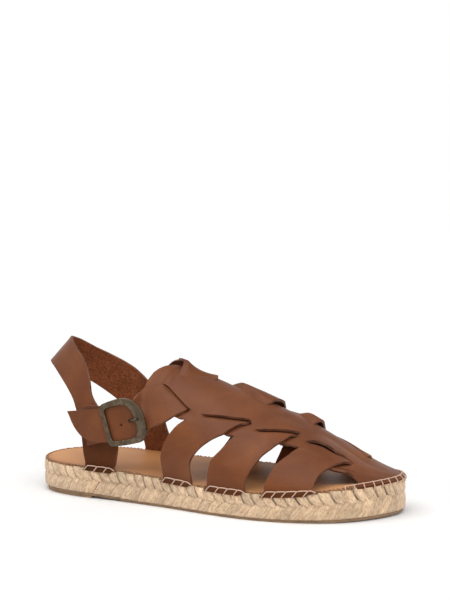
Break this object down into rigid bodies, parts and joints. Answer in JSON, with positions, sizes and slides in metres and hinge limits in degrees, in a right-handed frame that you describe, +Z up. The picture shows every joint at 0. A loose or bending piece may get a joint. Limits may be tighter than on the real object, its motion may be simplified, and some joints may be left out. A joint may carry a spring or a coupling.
{
  "type": "espadrille sandal",
  "caption": "Flat espadrille sandal with a braided jute sole, a woven leather strap upper, a heel strap and a side buckle.",
  "frame": {"origin": "middle of the sandal's length and width, on the floor", "axes": "+X to the toe, +Y to the inner side of the foot, +Z up"},
  "size_m": [0.2605, 0.096, 0.1028],
  "materials": {
    "leather": "smooth cognac brown leather with a soft sheen, rough suede on the inner side",
    "insole_leather": "tan leather, dull",
    "jute": "natural jute braid, fibrous",
    "rubber": "tan brown rubber, dull",
    "aged_metal": "aged dark brass, satin"
  },
  "bodies": {
    "root": {"outsole": "rubber", "heel_lift": "rubber", "jute_sole": "jute", "insole": "insole_leather", "upper": "leather", "buckle_loop": "leather", "buckle_frame": "aged_metal", "buckle_prong": "aged_metal"}
  },
  "joints": []
}
